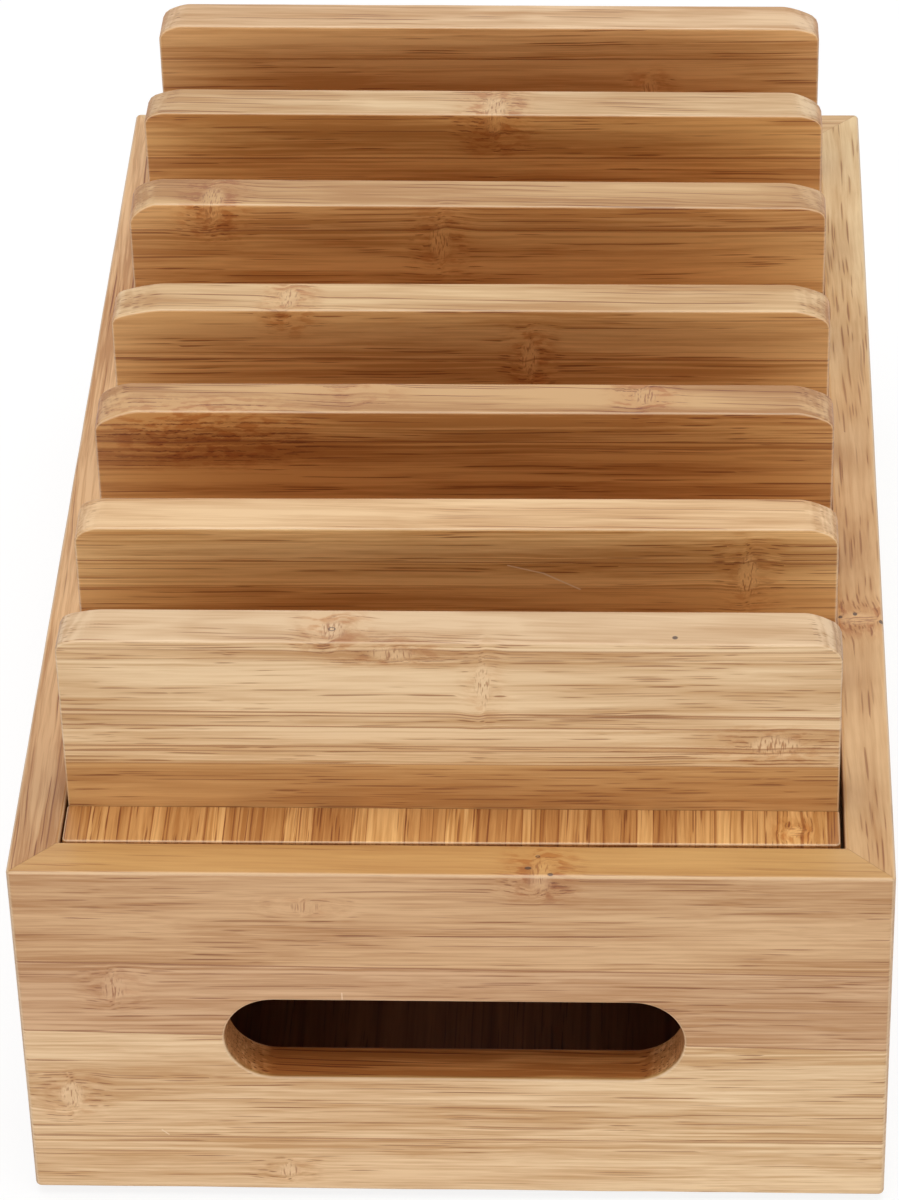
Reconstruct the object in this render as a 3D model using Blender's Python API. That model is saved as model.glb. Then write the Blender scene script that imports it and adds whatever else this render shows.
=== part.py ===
"""Phone and tablet organizer in laminated bamboo.

A mitred box holds a charger and its leads. Its loose lid carries seven upright dividers, and the six bays
between them hold phones and tablets on edge. The lid drops in flush with the rim, a little to the left in
its play, and rests on two rails inside the long walls.
Metres, +Z up, +Y to the rear, origin on the ground under the middle of the box.
"""

from math import asin, cos, pi, radians, sin, sqrt

import bmesh
import bpy
from mathutils import Vector

MM = 0.001

# Box
BOX_WIDTH = 170 * MM
BOX_LENGTH = 280 * MM
BOX_HEIGHT = 82 * MM
WALL = 9.5 * MM
BOX_CORNER_ROUND = 1.2 * MM
BOX_EDGE_EASE = 0.7 * MM

# Bottom panel, flush in a rebate round the foot of the walls
BOTTOM_THICKNESS = 5 * MM
REBATE_DEPTH = 5 * MM

# Cable and hand slot in each end wall
SLOT_LENGTH = 90 * MM
SLOT_HEIGHT = 20 * MM
SLOT_ABOVE_BASE = 30 * MM
SLOT_EASE = 0.6 * MM

# Rails that the lid rests on
RAIL_WIDTH = 8 * MM
RAIL_HEIGHT = 8 * MM
RAIL_EASE = 0.5 * MM

# Feet
FOOT_RADIUS = 6 * MM
FOOT_HEIGHT = 2 * MM
FOOT_ROUND = 0.5 * MM
FOOT_INSET = 22 * MM

# Lid
LID_THICKNESS = 10 * MM
LID_PLAY = 0.6 * MM
LID_SHIFT = 0.2 * MM
LID_CORNER_ROUND = 1 * MM
LID_EASE = 0.5 * MM
FRONT_STRIP = 9.5 * MM
REAR_STRIP = 8 * MM
DADO_DEPTH = 3 * MM
CABLE_SLOT_LENGTH = 36 * MM
CABLE_SLOT_WIDTH = 9 * MM
CABLE_SLOT_EASE = 0.6 * MM

# Dividers
DIVIDER_COUNT = 7
DIVIDER_THICKNESS = 10.5 * MM
DIVIDER_RISE = 40.8 * MM
DIVIDER_CORNER_ROUND = 6 * MM
DIVIDER_EDGE_ROUND = 0.7 * MM

# How far each divider stands behind its place in an even row, front to rear: the dadoes are set out by hand
DIVIDER_SHIFTS = (0.75 * MM, -1.1 * MM, 0.4 * MM, -0.95 * MM, 1.05 * MM, 0.15 * MM, -0.6 * MM)

# Countersunk wood screws, two up through the lid into each divider
SCREW_INSET = 25 * MM
SCREW_LENGTH = 25 * MM
SCREW_HEAD_RADIUS = 3.5 * MM
SCREW_HEAD_RIM = 0.4 * MM
SCREW_SHANK_RADIUS = 1.75 * MM
SCREW_SHANK_LENGTH = 8 * MM
SCREW_CORE_RADIUS = 1.2 * MM
SCREW_TIP_LENGTH = 3.5 * MM
SCREW_SINK = 0.4 * MM

# Clearance, the overrun of every cut, and how far apart two points may lie and still count as level
SEAT_GAP = 0.3 * MM
CUT_OVERRUN = 2 * MM
LEVEL_TOLERANCE = 0.01 * MM

# Facets
CORNER_STEPS = 3
DIVIDER_STEPS = 8
OBROUND_STEPS = 12
EASE_STEPS = 2
ROUND_STEPS = 3
FOOT_SIDES = 24
SCREW_SIDES = 12
SHARP_ANGLE = radians(28)

# Levels and places that follow from the sizes
BASE_Z = FOOT_HEIGHT
RIM_Z = BASE_Z + BOX_HEIGHT
LID_BOTTOM_Z = RIM_Z - LID_THICKNESS
INNER_WIDTH = BOX_WIDTH - 2 * WALL
INNER_LENGTH = BOX_LENGTH - 2 * WALL
REBATE_HEIGHT = BOTTOM_THICKNESS + SEAT_GAP
LID_WIDTH = INNER_WIDTH - 2 * LID_PLAY
LID_LENGTH = INNER_LENGTH - 2 * LID_PLAY
DADO_FLOOR = LID_THICKNESS - DADO_DEPTH
FIRST_DIVIDER_Y = -LID_LENGTH / 2 + FRONT_STRIP + DIVIDER_THICKNESS / 2
LAST_DIVIDER_Y = LID_LENGTH / 2 - REAR_STRIP - DIVIDER_THICKNESS / 2
DIVIDER_PITCH = (LAST_DIVIDER_Y - FIRST_DIVIDER_Y) / (DIVIDER_COUNT - 1)
DIVIDER_YS = tuple(
    FIRST_DIVIDER_Y + DIVIDER_PITCH * index + DIVIDER_SHIFTS[index % len(DIVIDER_SHIFTS)]
    for index in range(DIVIDER_COUNT)
)

# The two sides of the box, and its two ends
SIDES = ((-1, "left"), (1, "right"))
ENDS = ((-1, "front"), (1, "rear"))


def clear_scene():
    for obj in list(bpy.data.objects):
        bpy.data.objects.remove(obj, do_unlink=True)


def finish(name, colour, roughness, metallic=0.0):
    material = bpy.data.materials.new(name)
    material.use_nodes = True
    shader = material.node_tree.nodes["Principled BSDF"]
    shader.inputs["Base Color"].default_value = (*colour, 1.0)
    shader.inputs["Roughness"].default_value = roughness
    shader.inputs["Metallic"].default_value = metallic
    return material


def origin_empty(name, location):
    """An empty that carries one body's pieces. The lid's lies on the line along which it lifts."""
    empty = bpy.data.objects.new(name, None)
    empty.location = location
    bpy.context.collection.objects.link(empty)
    return empty


def mesh_from(name, bm):
    bmesh.ops.recalc_face_normals(bm, faces=bm.faces)
    mesh = bpy.data.meshes.new(name)
    bm.to_mesh(mesh)
    bm.free()
    mesh.shade_smooth()
    mesh.set_sharp_from_angle(angle=SHARP_ANGLE)
    return mesh


def place(name, mesh, parent, location=(0, 0, 0), rotation=(0, 0, 0), material=None):
    if material and not mesh.materials:
        mesh.materials.append(material)
    obj = bpy.data.objects.new(name, mesh)
    obj.parent = parent
    obj.location = location
    obj.rotation_euler = rotation
    bpy.context.collection.objects.link(obj)
    return obj


def place_cutter(name, mesh, parent, location=(0, 0, 0), rotation=(0, 0, 0)):
    cutter = place(name, mesh, parent, location, rotation)
    cutter.hide_render = True
    cutter.display_type = "WIRE"
    return cutter


def cut(obj, cutters):
    """Takes every cutter out of a piece in one pass."""
    group = bpy.data.collections.new(f"{obj.name}_cutters")
    bpy.context.scene.collection.children.link(group)
    for cutter in cutters:
        group.objects.link(cutter)
    boolean = obj.modifiers.new("cuts", "BOOLEAN")
    boolean.operation = "DIFFERENCE"
    boolean.solver = "EXACT"
    boolean.operand_type = "COLLECTION"
    boolean.collection = group


def arc(centre_u, centre_v, radius, start, end, steps):
    """Points along an arc in a plane, both ends included."""
    turn = (end - start) / steps
    angles = [start + turn * step for step in range(steps + 1)]
    return [(centre_u + radius * cos(a), centre_v + radius * sin(a)) for a in angles]


def extruded(points, along):
    """A prism: a face through the points, swept along a vector."""
    bm = bmesh.new()
    face = bm.faces.new([bm.verts.new(point) for point in points])
    swept = bmesh.ops.extrude_face_region(bm, geom=[face])
    moved = [item for item in swept["geom"] if isinstance(item, bmesh.types.BMVert)]
    bmesh.ops.translate(bm, verts=moved, vec=along)
    return bm


def block(size_x, size_y, size_z):
    """A block standing on z = 0, centred in x and y."""
    half_x, half_y = size_x / 2, size_y / 2
    corners = [(-half_x, -half_y, 0), (half_x, -half_y, 0), (half_x, half_y, 0), (-half_x, half_y, 0)]
    return extruded(corners, Vector((0, 0, size_z)))


def lofted(rings):
    """A closed skin through rings of equal point counts, capped at both ends."""
    bm = bmesh.new()
    loops = [[bm.verts.new(point) for point in ring] for ring in rings]
    for lower, upper in zip(loops, loops[1:]):
        for i in range(len(lower)):
            j = (i + 1) % len(lower)
            bm.faces.new((lower[i], lower[j], upper[j], upper[i]))
    bm.faces.new(loops[0])
    bm.faces.new(loops[-1])
    return bm


def turned(profile, sides):
    """A solid turned about Z through (radius, z) points. A radius of 0 is a pole."""
    bm = bmesh.new()
    angles = [2 * pi * side / sides for side in range(sides)]
    rings = []
    for radius, z in profile:
        if radius:
            rings.append([bm.verts.new((radius * cos(a), radius * sin(a), z)) for a in angles])
        else:
            rings.append([bm.verts.new((0, 0, z))] * sides)
    for lower, upper in zip(rings, rings[1:]):
        for i in range(sides):
            j = (i + 1) % sides
            corners = dict.fromkeys((lower[i], lower[j], upper[j], upper[i]))
            bm.faces.new(list(corners))
    return bm


def round_over(bm, edges, radius, steps):
    bmesh.ops.bevel(bm, geom=edges, offset=radius, segments=steps, profile=0.5, affect="EDGES")


def is_level(edge):
    first, second = edge.verts
    return abs(first.co.z - second.co.z) < LEVEL_TOLERANCE


def is_at_foot(edge):
    return all(vert.co.z < LEVEL_TOLERANCE for vert in edge.verts)


def obround(length, width, grown):
    """A slot's outline, a rectangle with half-round ends, grown outwards."""
    radius = width / 2
    reach = length / 2 - radius
    right = arc(reach, 0, radius + grown, -pi / 2, pi / 2, OBROUND_STEPS)
    left = arc(-reach, 0, radius + grown, pi / 2, 3 * pi / 2, OBROUND_STEPS)
    return right + left


def slot_cutter_mesh(name, length, width, depth, ease):
    """Cuts an obround slot through a board from z = 0 to z = depth, and eases its edge on both faces."""
    stations = [
        (-CUT_OVERRUN, ease + CUT_OVERRUN),
        (ease, 0),
        (depth - ease, 0),
        (depth + CUT_OVERRUN, ease + CUT_OVERRUN),
    ]
    rings = [[(u, v, z) for u, v in obround(length, width, grown)] for z, grown in stations]
    return mesh_from(name, lofted(rings))


def wall_section():
    """A wall's section as (depth, z) points, depth from its outer face, with eased edges and the rebate."""
    ease = BOX_EDGE_EASE
    outer_foot = arc(ease, ease, ease, -pi / 2, -pi, EASE_STEPS)
    outer_rim = arc(ease, BOX_HEIGHT - ease, ease, pi, pi / 2, EASE_STEPS)
    inner_rim = arc(WALL - ease, BOX_HEIGHT - ease, ease, pi / 2, 0, EASE_STEPS)
    rebate = [(WALL, REBATE_HEIGHT), (WALL - REBATE_DEPTH, REBATE_HEIGHT), (WALL - REBATE_DEPTH, 0)]
    return outer_foot + outer_rim + inner_rim + rebate


def towards_mitre(length, depth, share):
    """The (x, y) of a line this deep in the wall, a share of the way from its straight run to the mitre."""
    radius = BOX_CORNER_ROUND - depth
    if radius > 0:
        turn = share * (pi / 4 - asin(SEAT_GAP / (2 * radius)))
        return length / 2 - BOX_CORNER_ROUND + radius * sin(turn), BOX_CORNER_ROUND - radius * cos(turn)
    mitre_x = length / 2 - depth - SEAT_GAP / sqrt(2)
    return mitre_x - BOX_CORNER_ROUND * (1 - share), depth


def wall_mesh(name, length):
    """The section swept along the wall, outer face at y = 0, and round both corners to the mitres."""
    section = wall_section()
    shares = [step / CORNER_STEPS for step in range(CORNER_STEPS + 1)]
    right = [[(*towards_mitre(length, depth, share), z) for depth, z in section] for share in shares]
    left = [[(-x, y, z) for x, y, z in ring] for ring in right]
    return mesh_from(name, lofted(left[::-1] + right))


def build_walls(box_body, bamboo):
    """Four walls, with a slot through each end wall."""
    slot_mesh = slot_cutter_mesh("end_slot_cutter", SLOT_LENGTH, SLOT_HEIGHT, WALL, SLOT_EASE)
    slot_z = SLOT_ABOVE_BASE + SLOT_HEIGHT / 2
    end_mesh = wall_mesh("end_wall", BOX_WIDTH)
    for end, name in ENDS:
        y = end * BOX_LENGTH / 2
        facing = (end + 1) * pi / 2
        slot_turn = (-pi / 2, 0, facing)
        wall = place(f"{name}_wall", end_mesh, box_body, (0, y, 0), (0, 0, facing), bamboo)
        cut(wall, [place_cutter(f"{name}_slot_cutter", slot_mesh, box_body, (0, y, slot_z), slot_turn)])

    side_mesh = wall_mesh("side_wall", BOX_LENGTH)
    for side, name in SIDES:
        spot = (side * BOX_WIDTH / 2, 0, 0)
        place(f"{name}_wall", side_mesh, box_body, spot, (0, 0, side * pi / 2), bamboo)


def build_bottom(box_body, bamboo):
    """The bottom panel, in the rebate of all four walls."""
    grown = REBATE_DEPTH - SEAT_GAP
    panel = block(INNER_WIDTH + 2 * grown, INNER_LENGTH + 2 * grown, BOTTOM_THICKNESS)
    place("bottom_panel", mesh_from("bottom_panel", panel), box_body, material=bamboo)


def build_rails(box_body, bamboo):
    """A rail along each long wall, its top face where the lid's underside rests."""
    rail = block(RAIL_WIDTH, INNER_LENGTH - 2 * SEAT_GAP, RAIL_HEIGHT)
    long_edges = [edge for edge in rail.edges if edge.calc_length() > RAIL_WIDTH + RAIL_HEIGHT]
    round_over(rail, long_edges, RAIL_EASE, EASE_STEPS)
    mesh = mesh_from("lid_rail", rail)
    rail_x = INNER_WIDTH / 2 - SEAT_GAP - RAIL_WIDTH / 2
    rail_z = LID_BOTTOM_Z - BASE_Z - SEAT_GAP - RAIL_HEIGHT
    for side, name in SIDES:
        place(f"{name}_lid_rail", mesh, box_body, (side * rail_x, 0, rail_z), material=bamboo)


def build_feet(box_body, rubber):
    """Four pads stuck under the bottom panel, with a rounded lower edge."""
    lower_edge = arc(FOOT_RADIUS - FOOT_ROUND, FOOT_ROUND, FOOT_ROUND, -pi / 2, 0, ROUND_STEPS)
    top = FOOT_HEIGHT - SEAT_GAP
    profile = [(0, 0)] + lower_edge + [(FOOT_RADIUS, top), (0, top)]
    mesh = mesh_from("foot", turned(profile, FOOT_SIDES))
    x = BOX_WIDTH / 2 - FOOT_INSET
    y = BOX_LENGTH / 2 - FOOT_INSET
    for end, end_name in ENDS:
        for side, side_name in SIDES:
            spot = (side * x, end * y, -BASE_Z)
            place(f"foot_{end_name}_{side_name}", mesh, box_body, spot, material=rubber)


def build_lid_panel(lid_body, bamboo):
    """The panel, its upright corners rounded and its top edges eased."""
    panel = block(LID_WIDTH, LID_LENGTH, LID_THICKNESS)
    corners = [edge for edge in panel.edges if not is_level(edge)]
    round_over(panel, corners, LID_CORNER_ROUND, CORNER_STEPS)
    top_edges = [edge for edge in panel.edges if all(vert.co.z > LID_THICKNESS / 2 for vert in edge.verts)]
    round_over(panel, top_edges, LID_EASE, EASE_STEPS)
    return place("lid_panel", mesh_from("lid_panel", panel), lid_body, material=bamboo)


def divider_mesh():
    """An upright board with rounded upper corners and edges. z = 0 is its foot in the dado."""
    half = LID_WIDTH / 2
    height = DIVIDER_RISE + DADO_DEPTH - SEAT_GAP
    radius = DIVIDER_CORNER_ROUND
    right = arc(half - radius, height - radius, radius, 0, pi / 2, DIVIDER_STEPS)
    left = [(-u, w) for u, w in reversed(right)]
    outline = [(-half, 0), (half, 0)] + right + left
    bm = extruded([(u, -DIVIDER_THICKNESS / 2, w) for u, w in outline], Vector((0, DIVIDER_THICKNESS, 0)))
    rims = [edge for edge in bm.edges if not crosses_board(edge) and not is_at_foot(edge)]
    round_over(bm, rims, DIVIDER_EDGE_ROUND, ROUND_STEPS)
    return mesh_from("divider", bm)


def crosses_board(edge):
    first, second = edge.verts
    return first.co.y * second.co.y < 0


def screw_profile(grown):
    """Head to tip as (radius, z) points, z = 0 on the head's flat, grown outwards for the screw's hole."""
    head = SCREW_HEAD_RADIUS + grown
    shank = SCREW_SHANK_RADIUS + grown
    core = SCREW_CORE_RADIUS + grown
    return [
        (head, 0),
        (head, SCREW_HEAD_RIM),
        (shank, SCREW_HEAD_RIM + SCREW_HEAD_RADIUS - SCREW_SHANK_RADIUS),
        (shank, SCREW_SHANK_LENGTH),
        (core, SCREW_SHANK_LENGTH + SCREW_SHANK_RADIUS - SCREW_CORE_RADIUS),
        (core, SCREW_LENGTH - SCREW_TIP_LENGTH),
        (0, SCREW_LENGTH + grown),
    ]


def build_dividers(lid_body, bamboo):
    """Boards across the lid. Gives them back with the cutters of their dadoes."""
    dado_length = LID_WIDTH + 2 * CUT_OVERRUN
    dado_width = DIVIDER_THICKNESS + 2 * SEAT_GAP
    dado_mesh = mesh_from("dado_cutter", block(dado_length, dado_width, DADO_DEPTH + CUT_OVERRUN))
    board_mesh = divider_mesh()
    dividers, dadoes = [], []
    for number, y in enumerate(DIVIDER_YS, 1):
        dadoes.append(place_cutter(f"dado_cutter_{number}", dado_mesh, lid_body, (0, y, DADO_FLOOR)))
        spot = (0, y, DADO_FLOOR + SEAT_GAP)
        dividers.append(place(f"divider_{number}", board_mesh, lid_body, spot, material=bamboo))
    return dividers, dadoes


def build_screws(lid_body, dividers, steel):
    """Two screws up into each divider, sunk in the lid's underside. Gives back the cutters of their holes."""
    screw_mesh = mesh_from("screw", turned([(0, 0)] + screw_profile(0), SCREW_SIDES))
    mouth = [(0, -CUT_OVERRUN), (SCREW_HEAD_RADIUS + SEAT_GAP, -CUT_OVERRUN)]
    hole_mesh = mesh_from("screw_hole_cutter", turned(mouth + screw_profile(SEAT_GAP)[1:], SCREW_SIDES))
    holes = []
    for number, divider in enumerate(dividers, 1):
        pair = []
        for side, name in SIDES:
            spot = (side * (LID_WIDTH / 2 - SCREW_INSET), divider.location.y, SCREW_SINK)
            pair.append(place_cutter(f"screw_hole_cutter_{number}_{name}", hole_mesh, lid_body, spot))
            place(f"screw_{number}_{name}", screw_mesh, lid_body, spot, material=steel)
        cut(divider, pair)
        holes += pair
    return holes


def place_cable_slots(lid_body):
    """Cutters for a slot through the floor of every bay, midway between its dividers."""
    length, width, ease = CABLE_SLOT_LENGTH, CABLE_SLOT_WIDTH, CABLE_SLOT_EASE
    mesh = slot_cutter_mesh("cable_slot_cutter", length, width, LID_THICKNESS, ease)
    bays = [(front + rear) / 2 for front, rear in zip(DIVIDER_YS, DIVIDER_YS[1:])]
    return [place_cutter(f"cable_slot_cutter_{i}", mesh, lid_body, (0, y, 0)) for i, y in enumerate(bays, 1)]


def main():
    clear_scene()
    box_bamboo = finish("bamboo_box", (0.63, 0.42, 0.24), 0.48)
    lid_bamboo = finish("bamboo_lid", (0.66, 0.40, 0.18), 0.48)
    divider_bamboo = finish("bamboo_divider", (0.58, 0.34, 0.16), 0.48)
    steel = finish("zinc_screw", (0.62, 0.60, 0.56), 0.32, 1.0)
    rubber = finish("rubber_foot", (0.03, 0.03, 0.03), 0.8)

    box_body = origin_empty("box_origin", (0, 0, BASE_Z))
    build_walls(box_body, box_bamboo)
    build_bottom(box_body, box_bamboo)
    build_rails(box_body, box_bamboo)
    build_feet(box_body, rubber)

    lid_body = origin_empty("lid_lift_axis", (-LID_SHIFT, 0, LID_BOTTOM_Z))
    lid_panel = build_lid_panel(lid_body, lid_bamboo)
    dividers, dadoes = build_dividers(lid_body, divider_bamboo)
    holes = build_screws(lid_body, dividers, steel)
    cut(lid_panel, dadoes + holes + place_cable_slots(lid_body))


main()
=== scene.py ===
from math import asin, cos, pi, radians, sin, sqrt

import bmesh
import bpy
from mathutils import Matrix, Vector, noise


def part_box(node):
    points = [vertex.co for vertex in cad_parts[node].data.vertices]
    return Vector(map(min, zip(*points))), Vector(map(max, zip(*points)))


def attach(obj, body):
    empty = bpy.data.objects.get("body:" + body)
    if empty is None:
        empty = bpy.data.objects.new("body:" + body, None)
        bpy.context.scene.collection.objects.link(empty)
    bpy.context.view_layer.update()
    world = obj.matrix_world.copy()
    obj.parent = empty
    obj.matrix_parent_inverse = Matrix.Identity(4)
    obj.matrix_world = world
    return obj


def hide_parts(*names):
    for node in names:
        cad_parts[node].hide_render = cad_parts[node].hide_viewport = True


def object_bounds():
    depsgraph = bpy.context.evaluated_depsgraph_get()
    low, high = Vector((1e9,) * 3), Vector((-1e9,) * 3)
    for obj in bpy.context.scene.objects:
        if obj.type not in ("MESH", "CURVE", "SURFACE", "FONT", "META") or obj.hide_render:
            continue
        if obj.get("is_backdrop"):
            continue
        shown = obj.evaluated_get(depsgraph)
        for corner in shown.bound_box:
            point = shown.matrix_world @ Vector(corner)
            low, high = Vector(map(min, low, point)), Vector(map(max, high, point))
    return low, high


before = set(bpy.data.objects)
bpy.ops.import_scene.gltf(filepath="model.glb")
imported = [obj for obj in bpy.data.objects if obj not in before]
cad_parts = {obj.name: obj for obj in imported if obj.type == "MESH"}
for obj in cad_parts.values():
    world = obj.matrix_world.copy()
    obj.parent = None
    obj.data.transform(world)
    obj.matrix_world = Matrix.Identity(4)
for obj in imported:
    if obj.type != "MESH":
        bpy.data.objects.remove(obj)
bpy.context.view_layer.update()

mm = 0.001
weld = 0.001 * mm           # points nearer than this are one
sharpFrom = radians(32)     # faces that meet at more than this keep a sharp edge


# Sizes read from the frame

def sizeOf(node):
    low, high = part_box(node)
    return high - low


def centreOf(node):
    low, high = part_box(node)
    return (low + high) / 2


def nodesOf(start):
    return sorted(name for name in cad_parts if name.startswith(start))


frontLow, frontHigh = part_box("front_wall")
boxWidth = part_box("right_wall")[1].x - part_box("left_wall")[0].x
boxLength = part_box("rear_wall")[1].y - frontLow.y
baseZ, rimZ = frontLow.z, frontHigh.z
wallThickness = frontHigh.y - frontLow.y
lidLow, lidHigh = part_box("lid_panel")
dividerNodes = nodesOf("divider_")
screwNodes = nodesOf("screw_")
footNodes = nodesOf("foot_")


# Node trees are written as plain sums: a Field stands for a socket, and a sum with it adds a node

class Field:
    def __init__(self, socket):
        self.socket = socket

    def __add__(self, other):
        return reckon("ADD", self, other)

    def __radd__(self, other):
        return reckon("ADD", other, self)

    def __sub__(self, other):
        return reckon("SUBTRACT", self, other)

    def __rsub__(self, other):
        return reckon("SUBTRACT", other, self)

    def __mul__(self, other):
        return reckon("MULTIPLY", self, other)

    def __truediv__(self, other):
        return reckon("DIVIDE", self, other)

    def __rtruediv__(self, other):
        return reckon("DIVIDE", other, self)

    def __pow__(self, other):
        return reckon("POWER", self, other)

    def __abs__(self):
        return reckon("ABSOLUTE", self)


def fieldsOf(sockets):
    # A node's outputs, by place and by name
    return {**dict(enumerate(map(Field, sockets))), **{socket.name: Field(socket) for socket in sockets}}


def treeOf(values):
    for value in values:
        if isinstance(value, Field):
            return value.socket.id_data
        if isinstance(value, list):
            return value[0].socket.id_data


def feed(node, inputs):
    # A Field is linked, a list of them goes into one socket, and anything else is the socket's own value
    for key, value in inputs.items():
        socket = node.inputs[key]
        if isinstance(value, (Field, list)):
            for field in value if isinstance(value, list) else [value]:
                node.id_data.links.new(field.socket, socket)
        elif socket.type == "RGBA" and len(value) == 3:
            socket.default_value = (*value, 1.0)
        else:
            socket.default_value = value


def addNode(kind, inputs=None, tree=None, **settings):
    node = (tree or treeOf(inputs.values())).nodes.new(kind)
    for name, value in settings.items():
        setattr(node, name, value)
    feed(node, inputs or {})
    return fieldsOf(node.outputs)


def geometry(kind, inputs=None, tree=None, **settings):
    return addNode("GeometryNode" + kind, inputs, tree, **settings)[0]


def isVector(value):
    return isinstance(value, tuple) or isinstance(value, Field) and value.socket.type in ("VECTOR", "RGBA")


def reckon(operation, *values, clamp=False):
    # One step of a sum, in a vector node where a value is a vector
    vectors = [isVector(value) for value in values]
    inputs = dict(enumerate(values))
    if not any(vectors):
        return addNode("ShaderNodeMath", inputs, operation=operation, use_clamp=clamp)[0]
    if operation == "MULTIPLY" and not all(vectors):
        inputs = {0: values[0], "Scale": values[1]}
        return addNode("ShaderNodeVectorMath", inputs, operation="SCALE")["Vector"]
    result = "Value" if operation in ("LENGTH", "DOT_PRODUCT", "DISTANCE") else "Vector"
    return addNode("ShaderNodeVectorMath", inputs, operation=operation)[result]


def larger(first, second):
    return reckon("MAXIMUM", first, second)


def remap(value, low, high, newLow=0.0, newHigh=1.0, kind="SMOOTHSTEP"):
    inputs = {"Value": value, "From Min": low, "From Max": high, "To Min": newLow, "To Max": newHigh}
    return addNode("ShaderNodeMapRange", inputs, interpolation_type=kind)[0]


def mixed(share, first, second, blend="MIX", tree=None):
    inputs = {0: share, 6: first, 7: second}
    return addNode("ShaderNodeMix", inputs, tree, data_type="RGBA", blend_type=blend)[2]


def tinted(colour, tint, share=None, tree=None):
    # The colour times a tint, or moved towards that by a share
    product = mixed(1.0, colour, tint, "MULTIPLY", tree)
    return product if share is None else mixed(share, colour, product)


def blended(share, first, second):
    return addNode("ShaderNodeMix", {0: share, 4: first, 5: second}, data_type="VECTOR")[1]


def split(vector):
    return addNode("ShaderNodeSeparateXYZ", {0: vector})


def joined(x, y, z):
    return addNode("ShaderNodeCombineXYZ", {0: x, 1: y, 2: z})[0]


def fieldNoise(vector=None, w=None, scale=1.0, detail=2.0, roughness=0.5):
    places = {"Vector": vector, "W": w}
    inputs = {key: value for key, value in places.items() if value is not None}
    inputs.update({"Scale": scale, "Detail": detail, "Roughness": roughness})
    dimensions = "1D" if vector is None else "3D" if w is None else "4D"
    return addNode("ShaderNodeTexNoise", inputs, noise_dimensions=dimensions)


origin = (0.0, 0.0, 0.0)
anyColour = (0.8, 0.8, 0.8, 1.0)
socketKinds = {"VALUE": "NodeSocketFloat", "VECTOR": "NodeSocketVector", "RGBA": "NodeSocketColor",
               "GEOMETRY": "NodeSocketGeometry"}


def socketKind(value):
    if isinstance(value, tuple):
        return "NodeSocketColor" if len(value) == 4 else "NodeSocketVector"
    return "NodeSocketInt" if isinstance(value, int) else "NodeSocketFloat"


def newGroup(name, kind, inputs):
    # inputs names each socket with its value, or with its kind where it has none of its own
    tree = bpy.data.node_groups.new(name, kind)
    for label, value in inputs.items():
        if isinstance(value, str):
            tree.interface.new_socket(label, in_out="INPUT", socket_type=value)
        else:
            socket = tree.interface.new_socket(label, in_out="INPUT", socket_type=socketKind(value))
            socket.default_value = value
    return tree, fieldsOf(tree.nodes.new("NodeGroupInput").outputs)


def closeGroup(tree, results):
    for label, field in results.items():
        tree.interface.new_socket(label, in_out="OUTPUT", socket_type=socketKinds[field.socket.type])
    feed(tree.nodes.new("NodeGroupOutput"), results)
    return tree


def placeGroup(group, inputs):
    node = treeOf(inputs.values()).nodes.new("ShaderNodeGroup")
    node.node_tree = group
    feed(node, inputs)
    return fieldsOf(node.outputs)


def newMaterial(name):
    material = bpy.data.materials.new(name)
    material.use_nodes = True
    return material, material.node_tree, material.node_tree.nodes["Principled BSDF"]


# Bamboo, in board space: x along the grain, y across the strips, z through the board, in metres

def makeKnuckle():
    # A node of the culm: the fibres bow round it, and its pale heart is crumpled
    group, given = newGroup("knuckle", "ShaderNodeTree", {
        "Position": origin, "Centre": origin, "Size": (3 * mm, 1.5 * mm, 3 * mm), "Bow": 1.0 * mm,
        "Strength": 1.0, "Heart Share": 1.0, "Heart": 0.0, "Near": 0.0})
    local = (given["Position"] - given["Centre"]) / given["Size"]
    along = split(local)["X"]
    aside = local * (0.0, 1.0, 1.0)
    around = reckon("LENGTH", aside)
    heart = remap(reckon("LENGTH", local), 1.25, 0.5) * given["Heart Share"]
    near = remap(abs(along), 4.0, 0.2) * remap(around, 2.6, 0.9)
    swell = reckon("TANH", around * 1.3) / larger(around, 0.01)
    reach = near * given["Bow"]
    spread = aside * (swell * reach)
    slip = remap(along, -0.7, 0.7, 1.0, -1.0) * reach
    moved = joined(0.0, slip * 0.5, slip) - spread
    return closeGroup(group, {
        "Position": given["Position"] + moved,
        "Heart": larger(given["Heart"], heart),
        "Near": larger(given["Near"], near * given["Strength"])})


def makeSpeck():
    # A pin-sized mark: a dot, or a ring where Hollow is above 0
    group, given = newGroup("speck", "ShaderNodeTree", {
        "Position": origin, "Centre": origin, "Size": (0.5 * mm, 0.5 * mm, 0.5 * mm), "Hollow": 0.0,
        "Marks": 0.0})
    away = reckon("LENGTH", (given["Position"] - given["Centre"]) / given["Size"])
    hole = remap(away, 0.75, 0.4) * given["Hollow"]
    mark = reckon("SUBTRACT", remap(away, 1.1, 0.7), hole, clamp=True)
    return closeGroup(group, {"Marks": larger(given["Marks"], mark)})


def makeStroke():
    # A fine straight scratch from Start along Run
    group, given = newGroup("stroke", "ShaderNodeTree", {
        "Position": origin, "Start": origin, "Run": origin, "Half Width": 0.15 * mm, "Strokes": 0.0})
    run = given["Run"]
    local = given["Position"] - given["Start"]
    share = reckon("DIVIDE", reckon("DOT_PRODUCT", local, run), reckon("DOT_PRODUCT", run, run), clamp=True)
    away = reckon("DISTANCE", local, run * share) / given["Half Width"]
    return closeGroup(group, {"Strokes": larger(given["Strokes"], remap(away, 1.2, 0.5))})


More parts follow.
